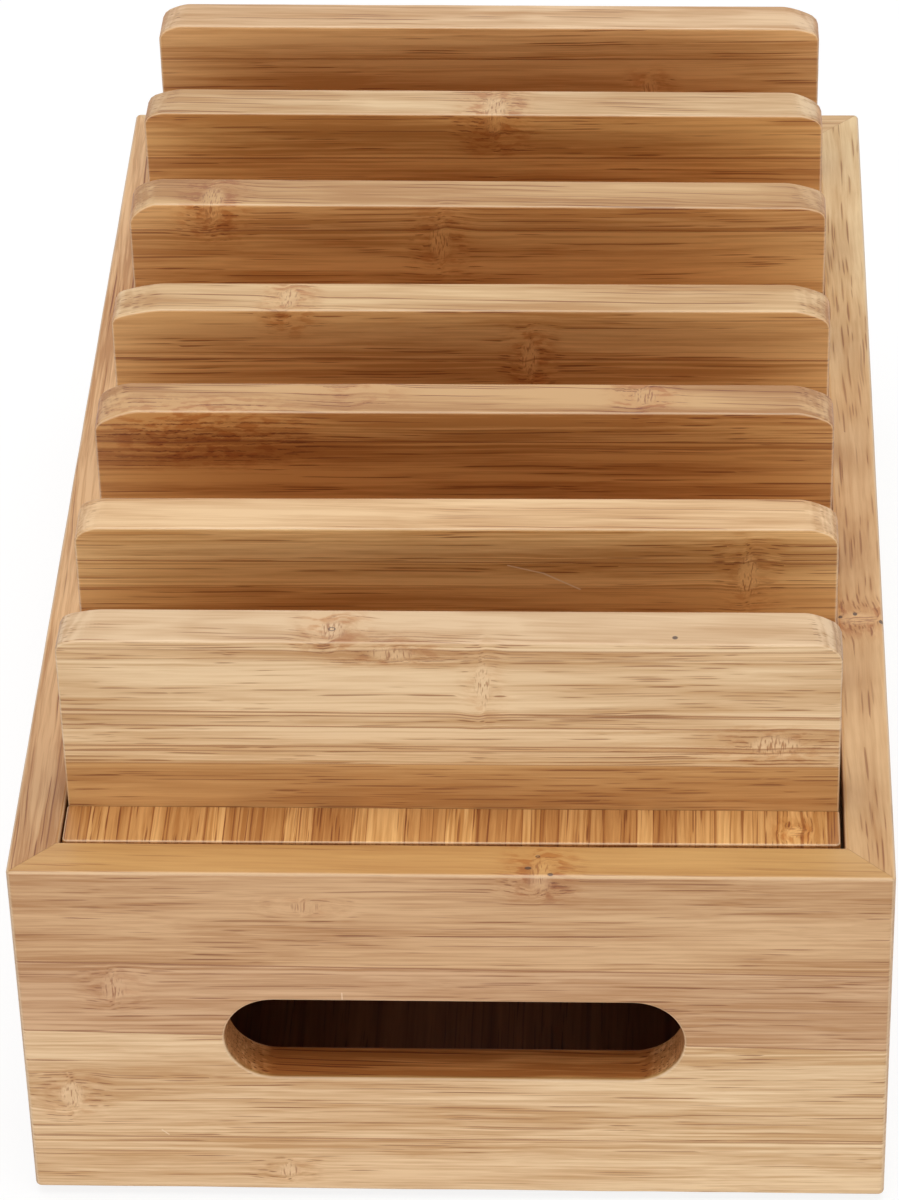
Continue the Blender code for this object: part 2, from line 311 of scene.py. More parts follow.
def makeStrip():
    # One glue line across the board at a level, and the body colour of the strip below it
    group, given = newGroup("strip", "ShaderNodeTree", {
        "Position": origin, "Level": 0.0, "Slope": 0.0, "Strip Colour": anyColour, "Glue Line": 1.0,
        "Body": anyColour, "Seam": 0.0, "Near Seam": 0.0, "Index": 0.0})
    axes = split(given["Position"])
    height = axes["Y"] - (given["Level"] + axes["X"] * given["Slope"])
    below = remap(height, 0.1 * mm, -0.1 * mm)
    away = abs(height)
    line = remap(away, 0.28 * mm, 0.08 * mm) * given["Glue Line"]
    return closeGroup(group, {
        "Body": mixed(below, given["Body"], given["Strip Colour"]),
        "Seam": larger(given["Seam"], line),
        "Near Seam": larger(given["Near Seam"], remap(away, 4.5 * mm, 0.5 * mm)),
        "Index": given["Index"] + below})


def makeNarrowStrips():
    # Side-pressed strips, all about as wide, each with its own tone
    group, given = newGroup("narrow strips", "ShaderNodeTree", {
        "Position": origin, "Strip Width": 4.0 * mm, "Seed": 0.0, "First Colour": anyColour,
        "Second Colour": anyColour})
    turns = split(given["Position"])["Y"] / given["Strip Width"]
    place = turns + fieldNoise(w=turns + given["Seed"], scale=0.45, detail=0.0)[0] * 1.6
    index = reckon("FLOOR", place)
    part = place - index
    edge = reckon("MINIMUM", part, 1.0 - part)
    chance = addNode("ShaderNodeTexWhiteNoise", {"W": index + given["Seed"]}, noise_dimensions="1D")
    return closeGroup(group, {
        "Body": mixed(chance["Value"], given["First Colour"], given["Second Colour"]),
        "Seam": remap(edge, 0.055, 0.012),
        "Index": index,
        "Busy": remap(split(chance["Color"])["Y"], 0.35, 0.9, 0.1, 1.0)})


def stretched(place, along, across):
    # A noise's place, for marks about so many millimetres long and wide
    return place * (1 / along, 1 / across, 1 / across)


def centred(colour):
    return colour - (0.5, 0.5, 0.5)


def makeGrain():
    # The fibre bundles form a net across the board and wander along it, so that a face cuts them as tapering
    # dashes and an end shows them as dots. Fine streaks and broad bands lie between them.
    group, given = newGroup("bamboo grain", "ShaderNodeTree", {
        "Position": origin, "Seed": 0.0, "Index": 0.0, "Heart": 0.0, "Near": 0.0, "Near Seam": 0.0,
        "Share": 0.5, "Slant": (0.0, 0.006, 0.02), "Bundle Pitch": 0.62, "Bundle Radius": 0.115,
        "Bands": 0.7, "Rules": 0.2, "Streaks": 0.8})
    seed = given["Seed"] + given["Index"] * 7.31
    inMillimetres = given["Position"] * (1 / mm)

    crumple = centred(fieldNoise(inMillimetres, scale=0.8)["Color"])
    place = inMillimetres + crumple * (given["Heart"] * 2.0 + given["Near"] * 0.4)
    bands = fieldNoise(stretched(place, 85, 5.5), w=seed, roughness=0.55)[0]
    wander = centred(fieldNoise(stretched(place, 55, 14), w=seed, detail=3.0)["Color"]) * (0.0, 1.9, 3.4)
    net = place + wander + given["Slant"] * split(place)["X"]
    axes = split(net)

    # The net: a bundle in each cell, some of them left out
    pitch = given["Bundle Pitch"]
    crossing = joined(axes["Y"], axes["Z"], 0.0) * (1.0 / pitch) + joined(seed, seed, 0.0) * 3.7
    cells = addNode("ShaderNodeTexVoronoi", {"Vector": crossing, "Scale": 1.0, "Randomness": 1.0},
                    voronoi_dimensions="2D", feature="F1")
    chance = addNode("ShaderNodeSeparateColor", {0: cells["Color"]})
    away = cells["Distance"] * pitch - given["Bundle Radius"] * (0.6 + chance[1])
    gathered = given["Share"] * remap(bands, 0.62, 0.36, 0.35, 1.8)
    share = gathered + given["Near"] * 0.25 - given["Heart"] * 1.0
    kept = remap(share - chance[0], -0.04, 0.06)
    depth = (0.45 + chance[2] * 0.55) * kept
    shade = remap(away, 0.28, -0.05) * depth

    streaks = fieldNoise(stretched(net, 26, 0.8), w=seed, detail=3.0, roughness=0.65)[0]
    rules = fieldNoise(w=axes["Y"] / 0.75 + seed, roughness=0.6)[0]
    fine = remap(streaks, 0.26, 0.74, -0.5, 0.5) * given["Streaks"]
    broad = remap(bands, 0.28, 0.72, -0.5, 0.5) * given["Bands"]
    ruled = remap(rules, 0.25, 0.75, -0.5, 0.5) * (given["Rules"] + given["Near Seam"] * 0.5)
    strokes = remap(fieldNoise(stretched(inMillimetres, 0.35, 1.6), detail=1.0)[0], 0.5, 0.68)
    clouds = remap(fieldNoise(stretched(inMillimetres, 3.5, 1.3), detail=3.0)[0], 0.47, 0.62)
    return closeGroup(group, {
        "Tone": fine + broad + ruled + 0.53 - shade * 0.3,
        "Fibre": remap(away, 0.05, -0.05) * depth,
        "Streak": remap(streaks, 0.35, 0.65),
        "Cross": strokes * given["Heart"],
        "Blotch": clouds * given["Near"]})


def makeFinish():
    # The board's colour, roughness and relief from its grain, its end grain and a painted edge highlight
    marks = ("Fibre", "Streak", "Cross", "Blotch", "Heart", "Near", "Seam", "Marks", "Strokes")
    group, given = newGroup("bamboo finish", "ShaderNodeTree", {
        "Body": anyColour, "Top": anyColour, "Normal": origin, "Tone": 0.5, **dict.fromkeys(marks, 0.0),
        "Edge Colour": (0.80, 0.58, 0.36, 1.0), "Edge Wear": 0.5, "Contrast": 1.0, "Top Contrast": 1.0,
        "End Fibre": 0.35})
    facing = split(given["Normal"])
    endwise = abs(facing["X"])
    onTop = remap(facing["Y"], 0.5, 0.85)
    body = mixed(onTop, given["Body"], given["Top"])
    contrast = remap(onTop, 0.0, 1.0, given["Contrast"], given["Top Contrast"], "LINEAR")
    pale = tinted(body, (1.16, 1.21, 1.30))
    dark = tinted(body, (0.75, 0.61, 0.45))
    colour = mixed(reckon("ADD", (given["Tone"] - 0.5) * contrast, 0.5, clamp=True), dark, pale)
    colour = tinted(colour, (0.93, 0.84, 0.74), given["Near"] * 0.5)
    colour = tinted(colour, (0.80, 0.62, 0.46), given["Blotch"] * 0.8)
    atEnd = remap(endwise, 0.15, 0.6, 1.0, given["End Fibre"])
    colour = tinted(colour, (0.50, 0.34, 0.24), given["Fibre"] * contrast * atEnd)
    colour = mixed(given["Heart"], colour, mixed(0.6, colour, pale))
    colour = tinted(colour, (0.60, 0.44, 0.34), given["Cross"])
    colour = tinted(colour, (0.62, 0.47, 0.36), given["Seam"])
    endGrain = remap(endwise, 0.55, 0.95)
    colour = tinted(colour, (0.80, 0.70, 0.60), endGrain)

    # An eased edge faces half outwards and half through the board, and there gets a pale painted highlight
    through = facing["Z"] * facing["Z"]
    eased = reckon("MULTIPLY", through * (1.0 - through), 4.0, clamp=True)
    colour = mixed(remap(eased, 0.35, 0.95) * given["Edge Wear"], colour, given["Edge Colour"])
    colour = mixed(given["Marks"] * 0.9, colour, (0.07, 0.03, 0.015))
    colour = mixed(given["Strokes"] * 0.7, colour, (0.86, 0.66, 0.45))

    rough = given["Tone"] * -0.10 + 0.50 + given["Fibre"] * 0.12
    raised = given["Streak"] * 0.35 + given["Heart"]
    hollow = given["Fibre"] * 0.5 + given["Seam"] + given["Marks"] * 3.0 + given["Cross"] * 0.7
    return closeGroup(group, {
        "Colour": colour,
        "Roughness": reckon("ADD", rough, endGrain * 0.15, clamp=True),
        "Relief": raised - hollow})


knuckleGroup = makeKnuckle()
speckGroup = makeSpeck()
strokeGroup = makeStroke()
stripGroup = makeStrip()
narrowStripsGroup = makeNarrowStrips()
grainGroup = makeGrain()
finishGroup = makeFinish()

# What a board's look leaves out. A look's places are in the frame's millimetres, and its axes are the
# frame's axes that run along, across and through the board.
plainBoard = {
    "knuckles": (), "strips": (), "specks": (), "strokes": (),
    "rules": 0.25, "slant": (-0.006, 0.02), "streaks": 0.8, "bands": 0.7, "pitch": 0.62, "radius": 0.115,
}
gloss = {"IOR": 1.48, "Coat Weight": 0.4, "Coat Roughness": 0.3}
relief = {"Strength": 0.35, "Distance": 0.08 * mm}
endFibre = 0.35             # how far the bundles darken a board's end
boreFibre = 1.1             # and the slot's cut faces
boreSkin = 0.4 * mm         # the face's colour goes on this far into the slot


def inBoardSpace(vector, axes):
    parts = split(vector)
    return joined(*(parts[axis] for axis in axes))


def boardPoint(point, axes):
    return tuple(point["XYZ".index(axis)] * mm for axis in axes)


def boardSize(size):
    return tuple(side * mm for side in size)


def bentRoundKnuckles(look, position):
    # The grain's place, bent round each knuckle, and how near it is to them
    knot = {"Heart": 0.0, "Near": 0.0}
    for centre, size, bow, strength, *heartShare in look["knuckles"]:
        made = placeGroup(knuckleGroup, {
            "Position": position, "Centre": boardPoint(centre, look["axes"]), "Size": boardSize(size),
            "Bow": bow * mm, "Strength": strength, "Heart Share": heartShare[0] if heartShare else 1.0,
            **knot})
        position = made["Position"]
        knot = {key: made[key] for key in knot}
    return position, knot


def laidStrips(look, position):
    # The strips' colour, how strongly they are ruled along the grain, and their glue lines
    body, rules = look["body"], look["rules"]
    seams = {"Seam": 0.0, "Near Seam": 0.0, "Index": 0.0}
    if "stripWidth" in look:
        made = placeGroup(narrowStripsGroup, {
            "Position": position, "Strip Width": look["stripWidth"] * mm, "Seed": look["seed"],
            "First Colour": body, "Second Colour": look["secondBody"]})
        body = made["Body"]
        rules = made["Busy"] * rules
        seams.update({"Seam": made["Seam"], "Index": made["Index"]})
    for level, slope, glue, colour in look["strips"]:
        made = placeGroup(stripGroup, {
            "Position": position, "Level": level * mm, "Slope": slope, "Strip Colour": colour,
            "Glue Line": glue, "Body": body, **seams})
        body = made["Body"]
        seams = {key: made[key] for key in seams}
    return body, rules, seams


def marksOf(look, plain):
    # Specks and scratches, each in its own place
    axes = look["axes"]
    marks, strokes = 0.0, 0.0
    for centre, size, hollow in look["specks"]:
        marks = placeGroup(speckGroup, {
            "Position": plain, "Centre": boardPoint(centre, axes), "Size": boardSize(size), "Hollow": hollow,
            "Marks": marks})["Marks"]
    for start, end, halfWidth in look["strokes"]:
        run = Vector(boardPoint(end, axes)) - Vector(boardPoint(start, axes))
        strokes = placeGroup(strokeGroup, {
            "Position": plain, "Start": boardPoint(start, axes), "Run": tuple(run),
            "Half Width": halfWidth * mm, "Strokes": strokes})["Strokes"]
    return {"Marks": marks, "Strokes": strokes}


def boreOf(look, plain, normal):
    # The slot's cut faces lie within the wall, at the slot's height, and face along or across it
    # They take a deep orange, painted shade inside the slot, paler at the slot's round ends
    inward = boxLength / 2 - abs(split(plain)["Z"])
    above = split(plain)["Y"] - look["boreMiddle"]
    inBand = reckon("LESS_THAN", abs(above), look["boreHalfHeight"])
    cut = remap(abs(split(normal)["Z"]), 0.9, 0.6)
    inBore = remap(inward, boreSkin, look["boreDepth"] * mm) * inBand * cut
    return inBore, mixed(remap(abs(split(normal)["X"]), 0.1, 0.8), look["paintedBoreShade"], look["boreEnd"])


def bambooMaterial(name, look):
    look = {**plainBoard, **look}
    material, tree, shader = newMaterial(name)
    coordinates = addNode("ShaderNodeTexCoord", tree=tree)
    plain = inBoardSpace(coordinates["Object"], look["axes"])
    normal = inBoardSpace(coordinates["Normal"], look["axes"])
    position, knot = bentRoundKnuckles(look, plain)
    body, rules, seams = laidStrips(look, position)
    grain = placeGroup(grainGroup, {
        "Position": position, "Seed": look["seed"], "Index": seams["Index"], **knot,
        "Near Seam": seams["Near Seam"], "Share": look["share"], "Slant": (0.0, *look["slant"]),
        "Rules": rules, "Streaks": look["streaks"], "Bands": look["bands"],
        "Bundle Pitch": look["pitch"], "Bundle Radius": look["radius"]})
    top = look.get("top", body)
    # The bottom's inside face can take a dark colour of its own: painted shade inside the closed box
    if "paintedShadeInside" in look:
        body = mixed(remap(split(normal)["Z"], 0.5, 0.85), body, look["paintedShadeInside"])
    if "drift" in look:
        begin, end, tint = look["drift"]
        share = remap(split(plain)["X"], begin * mm, end * mm)
        top, body = (tinted(colour, tint, share, tree) for colour in (top, body))
    ends = {"Top Contrast": look.get("topContrast", look["contrast"]), "End Fibre": endFibre}
    # The slot's cut faces take the painted shade of the slot
    if "paintedBoreShade" in look:
        inBore, paintedBoreShade = boreOf(look, plain, normal)
        top, body = (mixed(inBore, colour, paintedBoreShade) for colour in (top, body))
        ends = {"Top Contrast": remap(inBore, 0.0, 1.0, ends["Top Contrast"], look["boreContrast"]),
                "End Fibre": remap(inBore, 0.0, 1.0, endFibre, boreFibre)}
    grainMarks = {key: grain[key] for key in grain if isinstance(key, str)}
    made = placeGroup(finishGroup, {
        "Body": body, "Top": top, "Normal": normal, **grainMarks, **knot, "Seam": seams["Seam"],
        **marksOf(look, plain), "Edge Wear": look["edgeWear"], "Contrast": look["contrast"], **ends})
    bump = addNode("ShaderNodeBump", {"Height": made["Relief"], **relief})[0]
    feed(shader, {"Base Color": made["Colour"], "Roughness": made["Roughness"], "Normal": bump, **gloss})
    return material


# Meshes

def linked(name, mesh):
    piece = bpy.data.objects.new(name, mesh)
    bpy.context.scene.collection.objects.link(piece)
    return piece


def pieceFrom(name, bm):
    bmesh.ops.remove_doubles(bm, verts=bm.verts, dist=weld / 10)
    bmesh.ops.recalc_face_normals(bm, faces=bm.faces)
    mesh = bpy.data.meshes.new(name)
    bm.to_mesh(mesh)
    bm.free()
    return linked(name, mesh)


def applied(piece):
    # Turns the modifiers into a plain mesh
    graph = bpy.context.evaluated_depsgraph_get()
    mesh = bpy.data.meshes.new_from_object(piece.evaluated_get(graph), preserve_all_data_layers=True,
                                           depsgraph=graph)
    piece.modifiers.clear()
    piece.data = mesh
    return piece


def settle(piece):
    # Flat faces are shaded flat and rounds smooth
    piece.data.shade_smooth()
    piece.data.set_sharp_from_angle(angle=sharpFrom)
    weighted = piece.modifiers.new("flat faces", "WEIGHTED_NORMAL")
    weighted.keep_sharp = True
    weighted.weight = 100
    applied(piece).data.name = piece.name
    return piece


def ease(piece, width, segments):
    bevel = piece.modifiers.new("eased edges", "BEVEL")
    bevel.width = width
    bevel.segments = segments
    return piece


def hand(piece, body, nodes, material=None):
    if material:
        piece.data.materials.clear()
        piece.data.materials.append(material)
    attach(piece, body)
    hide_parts(*nodes)
    return piece


def arc(centreU, centreV, radius, start, end, steps):
    turn = (end - start) / steps
    angles = [start + turn * step for step in range(steps + 1)]
    return [(centreU + radius * cos(a), centreV + radius * sin(a)) for a in angles]


def lofted(rings):
    bm = bmesh.new()
    loops = [[bm.verts.new(point) for point in ring] for ring in rings]
    for lower, upper in zip(loops, loops[1:]):
        for i in range(len(lower)):
            j = (i + 1) % len(lower)
            bm.faces.new((lower[i], lower[j], upper[j], upper[i]))
    bm.faces.new(loops[0])
    bm.faces.new(loops[-1])
    return bm


def block(low, high):
    bm = bmesh.new()
    bmesh.ops.create_cube(bm, size=1.0)
    bmesh.ops.scale(bm, vec=high - low, verts=bm.verts)
    bmesh.ops.translate(bm, vec=(low + high) / 2, verts=bm.verts)
    return bm


def obroundCutter(name, length, width, depth, easing, steps):
    # A slot cutter from z = 0 to depth, flaring in a quarter round at both mouths and standing proud of them
    proud = 0.5 * mm
    angles = [pi / 2 * step / 4 for step in range(5)]
    stations = [(-proud, easing)]
    stations += [(easing - easing * cos(a), easing - easing * sin(a)) for a in angles]
    stations += [(depth - z, grown) for z, grown in reversed(stations)]
    reach = (length - width) / 2
    rings = []
    for z, grown in stations:
        radius = width / 2 + grown
        right = arc(reach, 0, radius, -pi / 2, pi / 2, steps)
        left = arc(-reach, 0, radius, pi / 2, 3 * pi / 2, steps)
        rings.append([(u, v, z) for u, v in right + left])
    return pieceFrom(name, lofted(rings))


def cutOut(piece, cutters):
    # Takes all the cutters out of the piece in one pass, and removes them
    group = bpy.data.collections.new(piece.name + "Cutters")
    bpy.context.scene.collection.children.link(group)
    for cutter in cutters:
        group.objects.link(cutter)
    boolean = piece.modifiers.new("cuts", "BOOLEAN")
    boolean.operation = "DIFFERENCE"
    boolean.solver = "EXACT"
    boolean.operand_type = "COLLECTION"
    boolean.collection = group
    applied(piece)
    for cutter in cutters:
        bpy.data.objects.remove(cutter)
    bpy.data.collections.remove(group)
    return piece


# Walls: a section swept along each side and round the corners to hairline mitres

walls = {
    "cornerRound": 1.2 * mm,
    "ease": 0.75 * mm,
    "easeWander": 0.4,          # share of the ease that comes and goes along a hand-sanded edge
    "wanderLength": 14 * mm,
    "easeSteps": 4,
    "cornerSteps": 5,
    "station": 3.5 * mm,        # spacing of the sections along a wall
    "mitreGap": 0.05 * mm,
    "rebateHeight": 5.1 * mm,
    "rebateDepth": 5 * mm,
    "slotLength": 90 * mm,
    "slotHeight": 20 * mm,
    "slotAboveBase": 30 * mm,
    "slotEase": 0.7 * mm,
    "slotSteps": 28,
}
slotMiddle = walls["slotAboveBase"] + walls["slotHeight"] / 2


def wallSection(rimEase, footEase):
    height = rimZ - baseZ
    steps = walls["easeSteps"]
    outerFoot = arc(footEase, footEase, footEase, -pi / 2, -pi, steps)
    outerRim = arc(rimEase, height - rimEase, rimEase, pi, pi / 2, steps)
    innerRim = arc(wallThickness - rimEase, height - rimEase, rimEase, pi / 2, 0, steps)
    inset = wallThickness - walls["rebateDepth"]
    lip = walls["rebateHeight"]
    return outerFoot + outerRim + innerRim + [(wallThickness, lip), (inset, lip), (inset, 0)]


def towardsMitre(length, depth, share):
    # Where the section's point at a depth lies, a share of the way round the corner
    radius = walls["cornerRound"] - depth
    gap = walls["mitreGap"]
    if radius > gap:
        turn = share * (pi / 4 - asin(gap / (2 * radius)))
        x = length / 2 - walls["cornerRound"] + radius * sin(turn)
        return x, walls["cornerRound"] - radius * cos(turn)
    return length / 2 - depth - gap / sqrt(2) - walls["cornerRound"] * (1 - share), depth


def wallMesh(length, seed):
    plain = walls["ease"]

    def easeAt(x, row, fade):
        swing = noise.noise(Vector((x / walls["wanderLength"], row, seed)))
        return plain + (plain * (1 + walls["easeWander"] * swing) - plain) * fade

    shares = [step / walls["cornerSteps"] for step in range(walls["cornerSteps"] + 1)]
    even = wallSection(plain, plain)
    corner = [[(*towardsMitre(length, depth, share), z) for depth, z in even] for share in shares]
    straight = length / 2 - wallThickness - walls["cornerRound"]
    count = int(2 * straight / walls["station"])
    rings = [[(-x, depth, z) for x, depth, z in ring] for ring in reversed(corner)]
    for step in range(count + 1):
        x = -straight + 2 * straight * step / count
        fade = min(1, 6 * min(step, count - step) / count)
        section = wallSection(easeAt(x, 0.5, fade), easeAt(x, 7.5, fade))
        rings.append([(x, depth, z) for depth, z in section])
    return lofted(rings + corner)


def placedWall(name, length, facing, spot, seed, hasSlot):
    piece = pieceFrom(name, wallMesh(length, seed))
    if hasSlot:
        cutter = obroundCutter(name + "Slot", walls["slotLength"], walls["slotHeight"], wallThickness,
                               walls["slotEase"], walls["slotSteps"])
        cutter.data.transform(Matrix.Translation((0, 0, slotMiddle)) @ Matrix.Rotation(-pi / 2, 4, "X"))
        cutOut(piece, [cutter])
    piece.data.transform(Matrix.Translation(spot) @ Matrix.Rotation(facing, 4, "Z"))
    return settle(piece)


# A strip is (level, slope, glue line, colour), a knuckle (centre, size, bow, strength, and its heart's
# share where that isn't 1), a speck (centre, size, hollow) and a stroke (start, end, half width)
tan = (0.58, 0.333, 0.153)
paleTan = (0.72, 0.48, 0.258)
pinkTan = (0.575, 0.333, 0.165)
golden = (0.61, 0.345, 0.118)
wallSide = {"share": 0.35, "edgeWear": 0.5, "contrast": 0.95, "topContrast": 0.8}
slottedSide = {
    # the slot's cut faces: a deep orange painted shade, paler at the round ends
    **wallSide, "axes": "XZY", "paintedBoreShade": (0.66, 0.276, 0.079), "boreEnd": (0.82, 0.45, 0.195), "boreDepth": 1.4,
    "boreContrast": 1.9, "boreMiddle": baseZ + slotMiddle, "boreHalfHeight": walls["slotHeight"] / 2 + 1 * mm,
}
frontLook = {
    **slottedSide, "seed": 3.0, "body": tan, "top": golden, "topContrast": 0.45, "rules": 0.35,
    "drift": (-20, 60, (1.04, 1.08, 1.11)),
    "strips": [(60.5, -0.012, 0.9, pinkTan), (42.2, -0.02, 0.9, paleTan), (16.0, 0.0, 0.8, paleTan)],
    "knuckles": [((-27.8, -140, 76), (3, 1.4, 3), 0.9, 0.5), ((17.3, -138, 82.5), (2.6, 2.6, 4), 0.8, 1.7),
                 ((-66, -140, 55), (2.4, 3, 3), 0.8, 0.6), ((-76, -140, 27), (2.4, 3.4, 3), 0.8, 0.7),
                 ((-33.6, -140, 7.2), (2.2, 1.8, 3), 0.7, 0.5)],
    "specks": [((15, -137.5, 84), (0.7, 0.5, 0.5), 0.0), ((19.3, -139.3, 84), (0.6, 0.4, 0.4), 0.0),
               ((16.8, -134, 84), (0.5, 0.4, 0.4), 0.5)],
    "strokes": [((-21.5, -140, 54.2), (-21.5, -140, 51.9), 0.12),
                ((-58.6, -140, 17.8), (-57.3, -140, 16.6), 0.15)],
}
rearLook = {
    **slottedSide, "seed": 14.0, "body": tan, "top": (0.74, 0.50, 0.25),
    "strips": [(63, 0.0, 0.9, paleTan), (41, 0.01, 0.9, pinkTan), (20, 0.0, 0.8, tan)],
    "knuckles": [((48, 140, 70), (2.4, 3, 3), 0.9, 0.7), ((-45, 140, 22), (2.4, 3, 3), 0.9, 0.6),
                 ((60, 140, 12), (2.2, 2, 3), 0.7, 0.5)],
}
leftLook = {
    **wallSide, "axes": "YZX", "seed": 21.0, "body": pinkTan, "top": (0.68, 0.40, 0.178), "share": 0.6,
    "streaks": 1.0, "topContrast": 1.35, "drift": (-60, -110, (0.84, 0.80, 0.77)),
    "strips": [(62, 0.0, 0.9, tan), (40, 0.01, 0.9, paleTan), (19, 0.0, 0.8, pinkTan)],
    "knuckles": [((-85, 60, 73), (2.4, 3, 3), 0.9, 0.7), ((-85, -70, 51), (2.4, 3, 3), 0.9, 0.6),
                 ((-85, 15, 30), (2.4, 3, 3), 0.9, 0.7), ((-85, 110, 12), (2.2, 2, 3), 0.7, 0.5)],
}
rightLook = {
    **wallSide, "axes": "YZX", "seed": 33.0, "body": tan, "top": (0.68, 0.417, 0.187), "share": 0.5,
    "slant": (0.045, 0.02), "pitch": 0.8, "radius": 0.14, "streaks": 0.5, "topContrast": 0.85,
    "drift": (-20, 90, (1.14, 1.33, 1.50)),
    "strips": [(64, 0.0, 0.9, pinkTan), (43, 0.01, 0.9, tan), (21, 0.0, 0.8, paleTan)],
    "knuckles": [((79.6, -57.5, 84), (2.2, 3, 4.5), 0.8, 1.8), ((85, 80, 54), (2.4, 3, 3), 0.9, 0.7),
                 ((85, -20, 33), (2.4, 3, 3), 0.9, 0.6), ((85, -110, 12), (2.2, 2, 3), 0.7, 0.5)],
    "specks": [((79.3, -56, 84), (0.6, 0.5, 0.5), 0.0), ((84.6, -58.5, 84), (0.7, 0.6, 0.6), 0.0),
               ((76.3, -57, 84), (0.5, 0.5, 0.5), 0.0)],
}
wallPlans = [
    ("frontWall", "front_wall", boxWidth, 0, (0, -boxLength / 2, baseZ), 2.3, frontLook),
    ("rearWall", "rear_wall", boxWidth, pi, (0, boxLength / 2, baseZ), 5.1, rearLook),
    ("leftWall", "left_wall", boxLength, -pi / 2, (-boxWidth / 2, 0, baseZ), 8.7, leftLook),
    ("rightWall", "right_wall", boxLength, pi / 2, (boxWidth / 2, 0, baseZ), 11.9, rightLook),
]
for name, node, length, facing, spot, seed, look in wallPlans:
    wall = placedWall(name, length, facing, spot, seed, "paintedBoreShade" in look)
    hand(wall, "box", [node], bambooMaterial(name + "Bamboo", look))
print("walls built")


# Bottom panel and lid rails

bottom = {
    "seamGap": 0.1 * mm,
    "ease": 0.2 * mm,
    "look": {
        "axes": "YXZ", "seed": 41.0, "body": (0.52, 0.29, 0.13), "secondBody": (0.58, 0.34, 0.16),
        # the inside face is painted very dark, as painted shade inside the closed box
        "stripWidth": 21, "paintedShadeInside": (0.195, 0.062, 0.018), "share": 0.4, "edgeWear": 0.3, "contrast": 1.0,
        "knuckles": [((-31, 20, 2), (2.4, 5, 6), 0.8, 0.8), ((52, -70, 2), (2.4, 5, 6), 0.8, 0.8),
                     ((10, 95, 2), (2.4, 5, 6), 0.8, 0.8)],
    },
}
low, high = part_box("bottom_panel")
inset = wallThickness - walls["rebateDepth"] + bottom["seamGap"]
half = Vector((boxWidth / 2 - inset, boxLength / 2 - inset, 0))
panel = pieceFrom("bottomPanel", block(Vector((-half.x, -half.y, low.z)), Vector((half.x, half.y, high.z))))
settle(ease(panel, bottom["ease"], 2))
hand(panel, "box", ["bottom_panel"], bambooMaterial("bottomBamboo", bottom["look"]))

rails = {
    "ease": 0.6 * mm,
    "seamGap": 0.03 * mm,
    "look": {
        "axes": "YZX", "seed": 52.0, "body": (0.60, 0.37, 0.20), "share": 0.4, "edgeWear": 0.4,
        "contrast": 1.0,
        "knuckles": [((-72, 35, 70), (2.4, 3, 6), 0.8, 0.8), ((72, -60, 70), (2.4, 3, 6), 0.8, 0.8)],
    },
}
railBamboo = bambooMaterial("railBamboo", rails["look"])
inset = wallThickness + rails["seamGap"]
for node, name in (("left_lid_rail", "leftLidRail"), ("right_lid_rail", "rightLidRail")):
    low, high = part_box(node)
    if high.x > 0:
        high.x = boxWidth / 2 - inset
    else:
        low.x = inset - boxWidth / 2
    low.y, high.y = inset - boxLength / 2, boxLength / 2 - inset
    rail = settle(ease(pieceFrom(name, block(low, high)), rails["ease"], 3))
    hand(rail, "box", [node], railBamboo)
print("bottom panel and rails built")


# Lid panel

lid = {
    "cornerRound": 1 * mm,
    "ease": 0.5 * mm,
    "frontReach": 0.45 * mm,       # the panel's front left corner comes this much nearer to the front wall
    "dadoPlay": 0.08 * mm,
    "dadoDepth": 3 * mm,
    "slotLength": 36 * mm,
    "slotWidth": 9 * mm,
    "slotEase": 0.7 * mm,
    "slotSteps": 20,
    "holePlay": 0.12 * mm,
    "overrun": 2 * mm,             # how far the cutters stand out of the panel
    "look": {
        "axes": "YXZ", "seed": 61.0, "body": (0.56, 0.26, 0.075), "secondBody": (0.84, 0.49, 0.18),
        "stripWidth": 4.2, "share": 0.6, "edgeWear": 0.55, "contrast": 1.2, "rules": 1.3,
        "knuckles": [((-40, 30, 84), (2.2, 1.8, 6), 0.4, 0.8), ((55, -60, 84), (2.2, 1.8, 6), 0.4, 0.8),
                     ((8, 75, 84), (2.2, 1.8, 6), 0.4, 0.8), ((66, -126, 84), (1.6, 2.2, 6), 0.4, 1.4)],
    },
}
dividerYs = [centreOf(node).y for node in dividerNodes]
dividerThickness = sizeOf(dividerNodes[0]).y
dadoFloor = lidHigh.z - lid["dadoDepth"]

screws = {
    "headRim": 0.4 * mm,
    "headRadius": sizeOf(screwNodes[0]).x / 2,
    "shankRadius": 1.75 * mm,
    "length": sizeOf(screwNodes[0]).z,
    "coreRadius": 1.2 * mm,
    "tip": 3.5 * mm,
    "recess": 1.9 * mm,
    "recessWidth": 0.75 * mm,
    "threadPitch": 1.5 * mm,
    "sides": 24,
}
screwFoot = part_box(screwNodes[0])[0].z
screwSpots = [centreOf(node) for node in screwNodes]


def buildLidPanel():
    bm = block(lidLow, lidHigh)
    corners = [edge for edge in bm.edges if abs(edge.verts[0].co.z - edge.verts[1].co.z) > lid["ease"]]
    bmesh.ops.bevel(bm, geom=corners, offset=lid["cornerRound"], segments=6, profile=0.5, affect="EDGES")
    rim = [edge for edge in bm.edges if all(vert.co.z > lidHigh.z - lid["ease"] for vert in edge.verts)]
    bmesh.ops.bevel(bm, geom=rim, offset=lid["ease"], segments=4, profile=0.5, affect="EDGES")
    for vert in bm.verts:
        if vert.co.y < lidLow.y + 2 * lid["cornerRound"]:
            leftShare = (lidHigh.x - vert.co.x) / (lidHigh.x - lidLow.x)
            vert.co.y -= lid["frontReach"] * leftShare
    return pieceFrom("lidPanel", bm)


